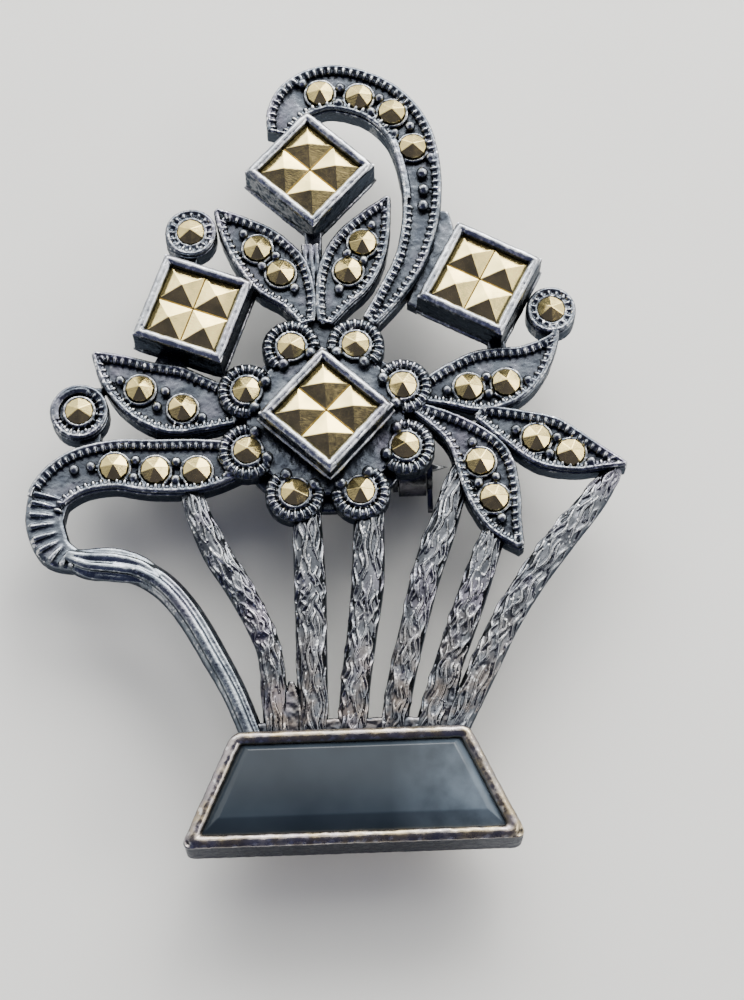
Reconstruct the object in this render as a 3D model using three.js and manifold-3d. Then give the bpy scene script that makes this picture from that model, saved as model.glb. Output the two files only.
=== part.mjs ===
// A silver flower-basket brooch set with marcasites, with a black onyx base and a garment pin.
// Millimetres. +Z runs up the bouquet, +X to the wearer's left, and the face looks along -Y.
// The origin lies on the back of the casting, on the line of the garment pin.

import * as THREE from 'three';
import { ConvexGeometry } from 'three/addons/geometries/ConvexGeometry.js';
import { mergeVertices } from 'three/addons/utils/BufferGeometryUtils.js';
import Module from 'manifold-3d';

const wasm = await Module();
wasm.setup();

// Levels along Y. The back of the casting is at 0 and fronts are negative.
const CASTING_FACE = -1.6;
const LINK_FACE = -1.2;
const BACKING_FACE = -0.6;
const FLOWER_BACK = -0.62;
const FLOWER_FACE = -1.9;
const SEAT_FACE = -0.4;
const SETTING_BACK = -0.42;
const SETTING_RIM = -2.8;
const CENTRE_SETTING_BACK = -1.92;
const CENTRE_SETTING_RIM = -3.4;
const CUP_BACK = 0.6;
const CUP_RIM = -2.4;
const FRONT_OF_ALL = -6;

// Fits
const FIT = 0.02;
const SEAT_EASE = 0.05;
const SHORT_LIMB_STEPS = 8;
const LONG_LIMB_STEPS = 20;
const SNAPS_PER_MM = 1e4;

// Stones
const ROUND_STONE_RADIUS = 0.75;
const ROUND_STONE_SINK = 0.35;
const ROUND_STONE_GIRDLE = 0.3;
const ROUND_STONE_CROWN = 0.42;
const ROUND_STONE_FACETS = 6;
const SQUARE_STONE_SIDE = 2;
const SQUARE_STONE_GAP = 0.04;
const SQUARE_STONE_GIRDLE = 0.2;
const SQUARE_STONE_CROWN = 0.42;

// Square settings
const SETTING_SIDE = 5.15;
const SETTING_WALL = 0.5;
const SETTING_LEDGE_DEPTH = 0.62;
const SETTING_FLOOR = 0.6;
const SETTING_WINDOW = 3.4;

// Flower
const FLOWER_CENTRE = [0.25, 2.75];
const PETALS = 8;
const PETAL_RING_RADIUS = 4.6;
const PETAL_RADIUS = 1.6;
const FLOWER_DISC_RADIUS = 4.7;
const BACKING_RADIUS = 5;

// Onyx cup: a trapezium, wider at the foot
const CUP_MIDDLE_X = 1.05;
const CUP_TOP_Z = -14.65;
const CUP_FOOT_Z = -20.65;
const CUP_TOP_HALF = 6.1;
const CUP_FOOT_HALF = 8.85;
const CUP_CORNER = 0.7;
const CUP_WALL = 0.5;
const CUP_FLOOR = 0.5;
const ONYX_GIRDLE = -1.9;
const ONYX_TABLE = -2.35;
const ONYX_TABLE_TOP_Z = -15.65;
const ONYX_TABLE_FOOT_Z = -19.15;
const ONYX_SIDE_BEVEL = 1.3;
const CUP_EDGE_BEVEL = 0.2;

// Garment pin. The bouquet is drawn one millimetre high and lowered at the end, so that the pin,
// which crosses it at the height PIN_LINE_Z, lies on the origin's level.
const PIN_LINE_Z = 1;
const PIN_AXIS_Y = 1.75;
const HINGE_X = -9.9;
const CATCH_X = 4.9;
const PIN_RADIUS = 0.4;
const PIN_POINT_X = 6.9;
const PIN_TAPER = 2.4;
const KNUCKLE_RADIUS = 0.85;
const KNUCKLE_THICKNESS = 0.95;
const RIVET_RADIUS = 0.36;
const RIVET_HEAD_RADIUS = 0.56;
const RIVET_HEAD = 0.16;
const EAR_GAP = 1.1;
const EAR_THICKNESS = 0.42;
const EAR_HOLE_RADIUS = 0.4;
const KNUCKLE_HOLE_RADIUS = 0.44;
const PLATE_THICKNESS = 0.3;
const HINGE_PLATE_LENGTH = 2.6;
const WIRE_START = 0.6;
const WIRE_POINT_SHARE = 0.55;

// Catch: a C-shaped cradle with a split sleeve that turns in it
const CRADLE_OUTER = 1.55;
const CRADLE_INNER = 1.06;
const CRADLE_LENGTH = 1.5;
const SLEEVE_OUTER = 1;
const SLEEVE_BORE = 0.56;
const MOUTH_HALF = 0.52;
const FLANGE_RADIUS = 1.3;
const FLANGE_THICKNESS = 0.28;
const FLANGE_GAP = 0.06;
const LEVER_LENGTH = 2.5;
const LEVER_HALF = 0.42;
const LEVER_REST_TURN = -75;
const LEVER_ROOT = 0.15;
const SLEEVE_OVERHANG = 0.1;
const CRADLE_FOOT_WIDTH = 1.9;
const CRADLE_MOUTH_EASE = 0.06;
const CATCH_PAD_RADIUS = 1.275;

// Limbs of the casting. Each station is [x, z, half width], on the middle line of the limb.
const LEAVES = {
  upper_left_leaf: {
    limb: [
      [-5.6, 15.7, 0.1], [-4.4, 14.3, 1.05], [-3.2, 13, 1.6], [-2, 11.5, 1.7], [-1.1, 10.1, 1.1],
      [-0.6, 8.6, 0.5],
    ],
    stones: [[-3.25, 13.15], [-2, 11.6]],
  },
  upper_right_leaf: {
    limb: [
      [4.2, 16.2, 0.1], [3.3, 14.6, 1], [2.4, 13, 1.6], [1.6, 11.4, 1.6], [0.9, 10, 1.1],
      [0.4, 8.6, 0.5],
    ],
    stones: [[2.6, 13.3], [1.75, 11.6]],
  },
  left_leaf: {
    limb: [
      [-12.4, 7.2, 0.1], [-11.2, 6.1, 1.05], [-9.6, 4.9, 1.75], [-7.9, 4.2, 2], [-6.4, 3.9, 1.6],
      [-4.6, 3.6, 1],
    ],
    stones: [[-9.8, 4.9], [-7.5, 3.7]],
  },
  right_upper_leaf: {
    limb: [
      [5, 4, 0.4], [7, 4.5, 1.25], [8.6, 4.7, 1.8], [10.2, 5.1, 1.7], [11.6, 5.85, 1.1],
      [12.9, 7.2, 0.3], [12.9, 7.9, 0.3],
    ],
    stones: [[8.1, 4.4], [10.15, 4.6]],
  },
  right_lower_leaf: {
    limb: [
      [8.6, 2.9, 0.5], [10.6, 1.9, 1.15], [12.2, 1.1, 1.5], [13.8, 0.4, 1.15], [15.2, 0, 0.6],
      [16.4, -0.35, 0.12],
    ],
    stones: [[11.6, 1.3], [13.4, 0.4]],
  },
  down_leaf: {
    limb: [
      [5.2, 3.3, 0.4], [7.3, 1.9, 0.9], [8.6, 0.2, 1.55], [9.1, -1.6, 1.5], [9.6, -3.3, 1.05],
      [10.5, -4.9, 0.15],
    ],
    stones: [[8.5, 0.05], [9.15, -2.05]],
  },
};
const SCROLL = {
  limb: [
    [-4.4, 0.7, 1], [-6.6, 0.4, 1.5], [-9, 0.4, 1.55], [-11.2, 0.6, 1.4], [-13.2, 0.2, 1.3],
    [-14.6, -0.9, 1.15],
    [-14.95, -2.6, 1.05], [-14.4, -4, 0.95], [-13, -4.75, 0.88], [-11.2, -5, 0.85], [-9.6, -5.5, 0.82],
    [-8.3, -6.5, 0.82], [-7.1, -8.1, 0.82], [-5.9, -10.3, 0.8], [-4.9, -12.3, 0.74], [-3.9, -14.9, 0.7],
  ],
  stones: [[-11.2, 0.4], [-9, 0.15], [-6.75, 0.05]],
};
const ARCH = {
  limb: [
    [-1.9, 20.4, 0.7], [-1.5, 21.6, 1.1], [-0.5, 22.7, 1.35], [1.3, 23.2, 1.45], [3.75, 22.3, 1.38],
    [5.4, 20.3, 1.3], [6, 17.6, 1.18], [5.95, 15.1, 1.05], [5.3, 12.4, 0.9], [4.2, 10.4, 0.75],
    [2.9, 8.6, 0.5],
  ],
  stones: [[0.5, 22.8], [2.7, 22.5], [4.55, 21.45], [5.65, 19.2]],
};
const STEMS = [
  [
    [-7.3, -0.6, 0.6], [-6, -4, 0.8], [-4.6, -6.45, 0.8], [-3.6, -8.5, 0.76], [-3, -10.5, 0.72],
    [-2.75, -14.9, 0.76],
  ],
  [[-0.95, -1.2, 0.8], [-0.85, -6, 0.92], [-0.85, -9, 0.9], [-0.9, -14.9, 0.86]],
  [[2.45, -1.2, 0.85], [2.25, -6, 0.95], [1.85, -9, 0.87], [1.4, -11.9, 0.85], [1.1, -14.9, 0.85]],
  [
    [7.6, 0.2, 0.6], [6.3, -3.4, 0.85], [5.35, -6, 0.85], [4.55, -8.9, 0.78], [3.75, -12, 0.78],
    [3.2, -14.9, 0.76],
  ],
  [[9.2, -3.4, 0.7], [7.9, -6.8, 0.85], [6.95, -9.3, 0.85], [6, -11.8, 0.8], [4.95, -14.9, 0.8]],
  [
    [15.9, -0.25, 0.45], [14.6, -2, 0.75], [12.7, -4.2, 0.85], [10.9, -6.5, 0.85], [9.4, -8.8, 0.85],
    [8.2, -11.1, 0.85], [6.3, -14.9, 0.75],
  ],
];
const STEM_BEVEL = 0.3;
const LINKS = [
  [[0, 6.5, 1.6], [-0.05, 9, 0.9], [-0.1, 11, 0.45], [-0.15, 14.6, 0.5]],
  [[-7.1, 13.6, 0.55], [-7.3, 11.6, 0.55]],
  [[-8.6, 5.6, 0.8], [-7.8, 7.6, 0.8]],
  [[9.9, 6, 0.5], [9.7, 8, 0.5]],
  [[-12.3, 5.3, 0.5], [-12.4, 3.8, 0.5], [-12.6, 1, 0.6]],
];
const CIRCLES = {
  upper_left_circle: { at: [-6.95, 14.25], radius: 1.45 },
  right_circle: { at: [12.85, 8.85], radius: 1.38 },
  left_circle: { at: [-13.1, 3.7], radius: 1.6 },
};
const SETTINGS = {
  top: { at: [-0.2, 17.45], turn: -43.5, back: SETTING_BACK, rim: SETTING_RIM },
  left: { at: [-6.8, 9.15], turn: -21, back: SETTING_BACK, rim: SETTING_RIM },
  right: { at: [8.95, 10.4], turn: -28.5, back: SETTING_BACK, rim: SETTING_RIM },
  centre: { at: [0.3, 2.7], turn: -43, back: CENTRE_SETTING_BACK, rim: CENTRE_SETTING_RIM },
};

const finish = (name, color, roughness, metalness) =>
  new THREE.MeshStandardMaterial({ name, color, roughness, metalness });

const MATERIALS = {
  silver: finish('oxidised_silver', 0x6f7681, 0.35, 0.9),
  wire: finish('pin_wire', 0xb5b8bb, 0.25, 0.95),
  marcasite: finish('marcasite', 0xc2ab7d, 0.2, 0.8),
  onyx: finish('onyx', 0x12161c, 0.08, 0),
};

const brooch = new THREE.Group();

function addPart(name, geometry, material) {
  const mesh = new THREE.Mesh(geometry, material);
  mesh.name = name;
  brooch.add(mesh);
}

// Adds a part of the bouquet, lowered to its place over the pin.
function addBouquetPart(name, geometry, material) {
  addPart(name, geometry.translate(0, 0, -PIN_LINE_Z), material);
}

// A closed three.js geometry as a manifold solid. Corners are snapped to a fine grid, so that
// faces meant to share a plane share it exactly.
function solid(geometry) {
  const bare = geometry.clone();
  bare.deleteAttribute('normal');
  bare.deleteAttribute('uv');
  const corners = bare.attributes.position.array;
  corners.forEach((value, i) => {
    corners[i] = Math.round(value * SNAPS_PER_MM) / SNAPS_PER_MM;
  });
  const merged = mergeVertices(bare, 1e-4);
  const mesh = new wasm.Mesh({
    numProp: 3,
    vertProperties: merged.attributes.position.array,
    triVerts: merged.index.array,
  });
  return new wasm.Manifold(mesh);
}

function geometryOf(manifold) {
  const mesh = manifold.getMesh();
  const geometry = new THREE.BufferGeometry();
  geometry.setAttribute('position', new THREE.BufferAttribute(mesh.vertProperties, 3));
  geometry.setIndex(new THREE.BufferAttribute(mesh.triVerts, 1));
  return geometry;
}

function union(solids) {
  return solids.reduce((whole, next) => whole.add(next));
}

function cutAll(whole, cutters) {
  return cutters.reduce((left, cutter) => left.subtract(cutter), whole);
}

// Extrudes a shape drawn in X and Z from the level `back` to the level `front`.
function slab(shape, back, front, bevel = 0) {
  const geometry = new THREE.ExtrudeGeometry(shape, {
    depth: back - front - 2 * bevel,
    bevelEnabled: bevel > 0,
    bevelThickness: bevel,
    bevelSize: bevel,
    bevelOffset: -bevel,
    bevelSegments: 1,
    curveSegments: 4,
  });
  geometry.rotateX(Math.PI / 2);
  geometry.translate(0, back - bevel, 0);
  return geometry;
}

// The outline of a limb whose width changes along its middle line.
function limbShape(stations, grow = 0) {
  const line = new THREE.CatmullRomCurve3(stations.map((station) => new THREE.Vector3(...station)));
  const steps = stations.length > 8 ? LONG_LIMB_STEPS : SHORT_LIMB_STEPS;
  const leftEdge = [];
  const rightEdge = [];
  for (let i = 0; i <= steps; i += 1) {
    const middle = line.getPoint(i / steps);
    const along = line.getTangent(i / steps);
    const across = new THREE.Vector2(-along.y, along.x).setLength(middle.z + grow);
    leftEdge.push(new THREE.Vector2(middle.x + across.x, middle.y + across.y));
    rightEdge.unshift(new THREE.Vector2(middle.x - across.x, middle.y - across.y));
  }
  return new THREE.Shape([...leftEdge, ...rightEdge]);
}

function disc([x, z], radius, back, front, sides = 16) {
  const geometry = new THREE.CylinderGeometry(radius, radius, back - front, sides);
  geometry.translate(x, (back + front) / 2, z);
  return solid(geometry);
}

// A square prism turned in the plane of the brooch.
function squareBlock([x, z], turn, side, back, front) {
  const geometry = new THREE.BoxGeometry(side, back - front, side);
  geometry.rotateY(THREE.MathUtils.degToRad(-turn));
  geometry.translate(x, (back + front) / 2, z);
  return solid(geometry);
}

function petalCentres() {
  return Array.from({ length: PETALS }, (_, i) => {
    const angle = ((i + 0.5) / PETALS) * 2 * Math.PI;
    return [
      FLOWER_CENTRE[0] + PETAL_RING_RADIUS * Math.cos(angle),
      FLOWER_CENTRE[1] + PETAL_RING_RADIUS * Math.sin(angle),
    ];
  });
}

function flowerBody(back, front, grow = 0) {
  const petals = petalCentres().map((at) => disc(at, PETAL_RADIUS + grow, back, front));
  return union([disc(FLOWER_CENTRE, FLOWER_DISC_RADIUS + grow, back, front, 24), ...petals]);
}

function stoneSeat(at, face) {
  return disc(at, ROUND_STONE_RADIUS + SEAT_EASE, face + ROUND_STONE_SINK + FIT, FRONT_OF_ALL, 12);
}

function cupShape(inset) {
  const slope = (CUP_FOOT_HALF - CUP_TOP_HALF) / (CUP_TOP_Z - CUP_FOOT_Z);
  const side = inset * Math.hypot(1, slope);
  const topZ = CUP_TOP_Z - inset;
  const footZ = CUP_FOOT_Z + inset;
  const topHalf = CUP_TOP_HALF + slope * inset - side;
  const footHalf = CUP_FOOT_HALF - slope * inset - side;
  const corners = [
    new THREE.Vector2(CUP_MIDDLE_X - topHalf, topZ),
    new THREE.Vector2(CUP_MIDDLE_X - footHalf, footZ),
    new THREE.Vector2(CUP_MIDDLE_X + footHalf, footZ),
    new THREE.Vector2(CUP_MIDDLE_X + topHalf, topZ),
  ];
  return roundedPolygon(corners, Math.max(CUP_CORNER - inset, 0.15));
}

// A polygon whose corners are eased off with curves that start `radius` from each corner.
function roundedPolygon(corners, radius) {
  const shape = new THREE.Shape();
  corners.forEach((corner, i) => {
    const before = corners[(i + corners.length - 1) % corners.length];
    const after = corners[(i + 1) % corners.length];
    const start = before.clone().sub(corner).setLength(radius).add(corner);
    const end = after.clone().sub(corner).setLength(radius).add(corner);
    if (i === 0) shape.moveTo(start.x, start.y);
    else shape.lineTo(start.x, start.y);
    shape.quadraticCurveTo(corner.x, corner.y, end.x, end.y);
  });
  shape.closePath();
  return shape;
}

const squareSettings = Object.values(SETTINGS).filter((setting) => setting.back === SETTING_BACK);
const flowerPocket = flowerBody(BACKING_FACE, FRONT_OF_ALL, FIT);
const cupPocket = solid(slab(cupShape(-FIT), 2, FRONT_OF_ALL));

// The main casting: leaves, scroll handle, stems, stone rings, and the thin seats behind the
// flower and behind the three outer settings.
function openworkFrame() {
  const leaves = Object.values(LEAVES).map(({ limb }) => solid(slab(limbShape(limb), 0, CASTING_FACE)));
  const handle = solid(slab(limbShape(SCROLL.limb), 0, CASTING_FACE));
  const stems = STEMS.map((limb) => solid(slab(limbShape(limb), 0, CASTING_FACE, STEM_BEVEL)));
  const links = LINKS.map((limb) => solid(slab(limbShape(limb), 0, LINK_FACE)));
  const rings = Object.values(CIRCLES).map(({ at, radius }) => disc(at, radius, 0, CASTING_FACE));
  const seats = squareSettings.map(({ at, turn }) => squareBlock(at, turn, SETTING_SIDE, 0, SEAT_FACE));
  const backing = disc(FLOWER_CENTRE, BACKING_RADIUS, 0, BACKING_FACE, 24);
  const catchPad = disc([CATCH_X, PIN_LINE_Z], CATCH_PAD_RADIUS, 0, BACKING_FACE);
  const body = union([backing, catchPad, ...leaves, handle, ...stems, ...links, ...rings, ...seats]);

  const settingPockets = squareSettings.map(({ at, turn }) =>
    squareBlock(at, turn, SETTING_SIDE + 2 * FIT, SEAT_FACE, FRONT_OF_ALL));
  const windows = squareSettings.map(({ at, turn }) =>
    squareBlock(at, turn, SETTING_WINDOW, 1, SEAT_FACE - 1));
  const stoneLists = [...Object.values(LEAVES), SCROLL].flatMap(({ stones }) => stones);
  const ringStones = Object.values(CIRCLES).map(({ at }) => at);
  const stoneSeats = [...stoneLists, ...ringStones].map((at) => stoneSeat(at, CASTING_FACE));
  return cutAll(body, [flowerPocket, cupPocket, ...settingPockets, ...windows, ...stoneSeats]);
}

// The tall arch, cut to butt against the seats, the flower and the leaf beside it.
function archScroll() {
  const arch = solid(slab(limbShape(ARCH.limb), 0, CASTING_FACE));
  const settings = squareSettings.map(({ at, turn }) =>
    squareBlock(at, turn, SETTING_SIDE + 2 * FIT, 1, FRONT_OF_ALL));
  const leaf = solid(slab(limbShape(LEAVES.upper_right_leaf.limb, FIT), 1, FRONT_OF_ALL));
  const backing = disc(FLOWER_CENTRE, BACKING_RADIUS + FIT, 1, FRONT_OF_ALL, 24);
  const flower = flowerBody(1, FRONT_OF_ALL, FIT);
  const stoneSeats = ARCH.stones.map((at) => stoneSeat(at, CASTING_FACE));
  return cutAll(arch, [...settings, leaf, backing, flower, ...stoneSeats]);
}

function flowerPlate() {
  const seats = petalCentres().map((at) => stoneSeat(at, FLOWER_FACE));
  return cutAll(flowerBody(FLOWER_BACK, FLOWER_FACE), seats);
}

// A square setting: a wall round a ledge for four stones, hollow or flat behind.
function squareSetting({ at, turn, back, rim }) {
  const block = squareBlock(at, turn, SETTING_SIDE, back, rim);
  const ledge = rim + SETTING_LEDGE_DEPTH;
  const pocket = squareBlock(at, turn, SETTING_SIDE - 2 * SETTING_WALL, ledge, FRONT_OF_ALL);
  const hollowFront = ledge + SETTING_FLOOR;
  const setting = block.subtract(pocket);
  if (hollowFront >= back) return setting;
  return setting.subtract(squareBlock(at, turn, SETTING_WINDOW, back + 1, hollowFront));
}

// A square stone: a shallow four-sided pyramid on a thin square girdle.
function squareStone({ at, turn, rim }, column, row) {
  const half = SQUARE_STONE_SIDE / 2;
  const back = rim + SETTING_LEDGE_DEPTH - FIT;
  const girdle = back - SQUARE_STONE_GIRDLE;
  const corners = [[-half, -half], [half, -half], [half, half], [-half, half]];
  const points = corners.flatMap(([x, z]) =>
    [new THREE.Vector3(x, back, z), new THREE.Vector3(x, girdle, z)]);
  points.push(new THREE.Vector3(0, girdle - SQUARE_STONE_CROWN, 0));
  const geometry = new ConvexGeometry(points);
  const pitch = SQUARE_STONE_SIDE + SQUARE_STONE_GAP;
  geometry.translate(column * pitch / 2, 0, row * pitch / 2);
  geometry.rotateY(THREE.MathUtils.degToRad(-turn));
  geometry.translate(at[0], 0, at[1]);
  return geometry;
}

// A round stone: six flat facets that meet in a point over a round girdle.
function roundStone([x, z], face, turn) {
  const back = face + ROUND_STONE_SINK;
  const girdle = back - ROUND_STONE_GIRDLE;
  const apex = girdle - ROUND_STONE_CROWN;
  const sides = 2 * ROUND_STONE_FACETS;
  const points = [new THREE.Vector3(0, apex, 0)];
  for (let i = 0; i < sides; i += 1) {
    const angle = (i / sides) * 2 * Math.PI;
    const ridge = i % 2 === 0 ? 1 : Math.cos(Math.PI / ROUND_STONE_FACETS);
    const level = apex + (ROUND_STONE_CROWN * Math.cos(Math.PI / ROUND_STONE_FACETS)) / ridge;
    const px = ROUND_STONE_RADIUS * Math.cos(angle);
    const pz = ROUND_STONE_RADIUS * Math.sin(angle);
    points.push(new THREE.Vector3(px, back, pz), new THREE.Vector3(px, level, pz));
  }
  const geometry = new ConvexGeometry(points);
  geometry.rotateY(turn);
  geometry.translate(x, 0, z);
  return geometry;
}

function onyxCup() {
  const outside = solid(slab(cupShape(0), CUP_BACK, CUP_RIM, CUP_EDGE_BEVEL));
  const pocket = solid(slab(cupShape(CUP_WALL), CUP_BACK - CUP_FLOOR, FRONT_OF_ALL));
  return outside.subtract(pocket);
}

// The onyx: a flat-backed slab whose front is bevelled on all four edges.
function onyxStone() {
  const edge = cupShape(CUP_WALL + FIT).getPoints(2);
  const slope = (CUP_FOOT_HALF - CUP_TOP_HALF) / (CUP_TOP_Z - CUP_FOOT_Z);
  const halfAt = (z) => CUP_TOP_HALF + slope * (CUP_TOP_Z - z) - ONYX_SIDE_BEVEL;
  const table = [ONYX_TABLE_TOP_Z, ONYX_TABLE_FOOT_Z].flatMap((z) =>
    [-1, 1].map((side) => new THREE.Vector3(CUP_MIDDLE_X + side * halfAt(z), ONYX_TABLE, z)));
  const back = edge.map((p) => new THREE.Vector3(p.x, CUP_BACK - CUP_FLOOR - FIT, p.y));
  const girdle = edge.map((p) => new THREE.Vector3(p.x, ONYX_GIRDLE, p.y));
  return new ConvexGeometry([...back, ...girdle, ...table]);
}

// Turns a solid of revolution, made about the Y axis, so that its axis runs along X.
function alongX(geometry) {
  geometry.rotateZ(-Math.PI / 2);
  return geometry;
}

function alongZ(radius, length, x, y, sides) {
  const geometry = new THREE.CylinderGeometry(radius, radius, length, sides);
  geometry.rotateX(Math.PI / 2);
  geometry.translate(x, y, 0);
  return solid(geometry);
}

// One ear of the hinge, as a plate with a round head, standing at the height z.
function ear(z) {
  const shape = new THREE.Shape();
  shape.moveTo(-KNUCKLE_RADIUS, 0);
  shape.lineTo(KNUCKLE_RADIUS, 0);
  shape.lineTo(KNUCKLE_RADIUS, PIN_AXIS_Y);
  shape.absarc(0, PIN_AXIS_Y, KNUCKLE_RADIUS, 0, Math.PI, false);
  shape.closePath();
  const options = { depth: EAR_THICKNESS, bevelEnabled: false, curveSegments: 10 };
  const geometry = new THREE.ExtrudeGeometry(shape, options);
  geometry.translate(HINGE_X, 0, z);
  return solid(geometry);
}

function hingeBracket() {
  const plate = new THREE.BoxGeometry(HINGE_PLATE_LENGTH, PLATE_THICKNESS, EAR_GAP + 2 * EAR_THICKNESS);
  plate.translate(HINGE_X, PLATE_THICKNESS / 2, 0);
  const body = union([solid(plate), ear(EAR_GAP / 2), ear(-EAR_GAP / 2 - EAR_THICKNESS)]);
  return body.subtract(alongZ(EAR_HOLE_RADIUS, 6, HINGE_X, PIN_AXIS_Y, 16));
}

function rivet() {
  const width = EAR_GAP + 2 * EAR_THICKNESS + 2 * FIT;
  const shank = alongZ(RIVET_RADIUS, width + RIVET_HEAD, HINGE_X, PIN_AXIS_Y, 16);
  const head = new THREE.CylinderGeometry(RIVET_HEAD_RADIUS, RIVET_HEAD_RADIUS, RIVET_HEAD, 16);
  head.rotateX(Math.PI / 2);
  const heads = [-1, 1].map((side) => {
    const copy = head.clone();
    copy.translate(HINGE_X, PIN_AXIS_Y, side * (width / 2 + RIVET_HEAD / 2));
    return solid(copy);
  });
  return union([shank, ...heads]);
}

// The pin: a flat knuckle on the rivet and a wire that tapers to a point beyond the catch.
function pinStem() {
  const length = PIN_POINT_X - HINGE_X;
  const profile = [
    new THREE.Vector2(0, WIRE_START),
    new THREE.Vector2(PIN_RADIUS, WIRE_START),
    new THREE.Vector2(PIN_RADIUS, length - PIN_TAPER),
    new THREE.Vector2(PIN_RADIUS * WIRE_POINT_SHARE, length - PIN_TAPER / 3),
    new THREE.Vector2(0, length),
  ];
  const wire = alongX(new THREE.LatheGeometry(profile, 12));
  wire.translate(HINGE_X, PIN_AXIS_Y, 0);
  const knuckle = alongZ(KNUCKLE_RADIUS, KNUCKLE_THICKNESS, HINGE_X, PIN_AXIS_Y, 24);
  const hole = alongZ(KNUCKLE_HOLE_RADIUS, 4, HINGE_X, PIN_AXIS_Y, 16);
  return knuckle.add(solid(wire)).subtract(hole);
}

// A C-shaped section with its mouth towards the top of the shape.
function openRing(outer, inner, mouthHalf) {
  const outerAngle = Math.PI / 2 - Math.asin(mouthHalf / outer);
  const innerAngle = Math.PI / 2 - Math.asin(mouthHalf / inner);
  const shape = new THREE.Shape();
  shape.absarc(0, 0, outer, outerAngle, Math.PI - outerAngle, true);
  shape.absarc(0, 0, inner, Math.PI - innerAngle, innerAngle, false);
  shape.closePath();
  return shape;
}

// Extrudes a section drawn in (Z, Y) along X, centred on the catch.
function catchPiece(shape, x, length) {
  const options = { depth: length, bevelEnabled: false, curveSegments: 12 };
  const geometry = new THREE.ExtrudeGeometry(shape, options);
  geometry.translate(0, 0, -length / 2);
  geometry.rotateY(-Math.PI / 2);
  geometry.translate(x, PIN_AXIS_Y, 0);
  return solid(geometry);
}

function catchCradle() {
  const section = openRing(CRADLE_OUTER, CRADLE_INNER, MOUTH_HALF + CRADLE_MOUTH_EASE);
  const ring = catchPiece(section, CATCH_X, CRADLE_LENGTH);
  const foot = new THREE.BoxGeometry(CRADLE_LENGTH, PLATE_THICKNESS, CRADLE_FOOT_WIDTH);
  foot.translate(CATCH_X, PLATE_THICKNESS / 2, 0);
  const bore = new THREE.Shape().absarc(0, 0, CRADLE_INNER - 0.001, 0, 2 * Math.PI);
  const clearance = catchPiece(bore, CATCH_X, 2 * CRADLE_LENGTH);
  return ring.add(solid(foot).subtract(clearance));
}

// The sleeve, its two end flanges and the lever that turns it.
function catchSleeve() {
  const sleeveLength = CRADLE_LENGTH + 2 * FLANGE_GAP + SLEEVE_OVERHANG;
  const sleeve = catchPiece(openRing(SLEEVE_OUTER, SLEEVE_BORE, MOUTH_HALF), CATCH_X, sleeveLength);
  const flangeOffset = CRADLE_LENGTH / 2 + FLANGE_GAP + FLANGE_THICKNESS / 2;
  const flangeShape = openRing(FLANGE_RADIUS, SLEEVE_BORE, MOUTH_HALF);
  const flanges = [-1, 1].map((side) =>
    catchPiece(flangeShape, CATCH_X + side * flangeOffset, FLANGE_THICKNESS));
  const tab = new THREE.Shape();
  tab.moveTo(-LEVER_HALF, SLEEVE_OUTER - LEVER_ROOT);
  tab.lineTo(LEVER_HALF, SLEEVE_OUTER - LEVER_ROOT);
  tab.lineTo(LEVER_HALF, LEVER_LENGTH - LEVER_HALF);
  tab.absarc(0, LEVER_LENGTH - LEVER_HALF, LEVER_HALF, 0, Math.PI, false);
  tab.closePath();
  const options = { depth: FLANGE_THICKNESS, bevelEnabled: false, curveSegments: 8 };
  const lever = new THREE.ExtrudeGeometry(tab, options);
  lever.translate(0, 0, -FLANGE_THICKNESS / 2);
  lever.rotateY(-Math.PI / 2);
  lever.rotateX(THREE.MathUtils.degToRad(LEVER_REST_TURN));
  lever.translate(CATCH_X + flangeOffset, PIN_AXIS_Y, 0);
  return union([sleeve, ...flanges, solid(lever)]);
}

addBouquetPart('openwork_frame', geometryOf(openworkFrame()), MATERIALS.silver);
addBouquetPart('arch_scroll', geometryOf(archScroll()), MATERIALS.silver);
addBouquetPart('flower_plate', geometryOf(flowerPlate()), MATERIALS.silver);

for (const [place, setting] of Object.entries(SETTINGS)) {
  addBouquetPart(`${place}_setting`, geometryOf(squareSetting(setting)), MATERIALS.silver);
  [[-1, -1], [1, -1], [1, 1], [-1, 1]].forEach(([column, row], i) => {
    addBouquetPart(`${place}_square_stone_${i + 1}`, squareStone(setting, column, row), MATERIALS.marcasite);
  });
}

const stonePlaces = { ...LEAVES, scroll: SCROLL, arch: ARCH };
for (const [place, { stones }] of Object.entries(stonePlaces)) {
  stones.forEach((at, i) => {
    addBouquetPart(`${place}_stone_${i + 1}`, roundStone(at, CASTING_FACE, 0.9 * i), MATERIALS.marcasite);
  });
}
for (const [place, { at }] of Object.entries(CIRCLES)) {
  addBouquetPart(`${place}_stone`, roundStone(at, CASTING_FACE, 0.5), MATERIALS.marcasite);
}
petalCentres().forEach((at, i) => {
  addBouquetPart(`petal_stone_${i + 1}`, roundStone(at, FLOWER_FACE, 0.7 * i), MATERIALS.marcasite);
});

addBouquetPart('onyx_cup', geometryOf(onyxCup()), MATERIALS.silver);
addBouquetPart('onyx_stone', onyxStone(), MATERIALS.onyx);
addPart('hinge_bracket', geometryOf(hingeBracket()), MATERIALS.silver);
addPart('hinge_rivet', geometryOf(rivet()), MATERIALS.wire);
addPart('pin_stem', geometryOf(pinStem()), MATERIALS.wire);
addPart('catch_cradle', geometryOf(catchCradle()), MATERIALS.silver);
addPart('catch_sleeve', geometryOf(catchSleeve()), MATERIALS.silver);

export default brooch;
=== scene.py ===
import math
import random

import bpy
from mathutils import Matrix, Vector


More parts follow.
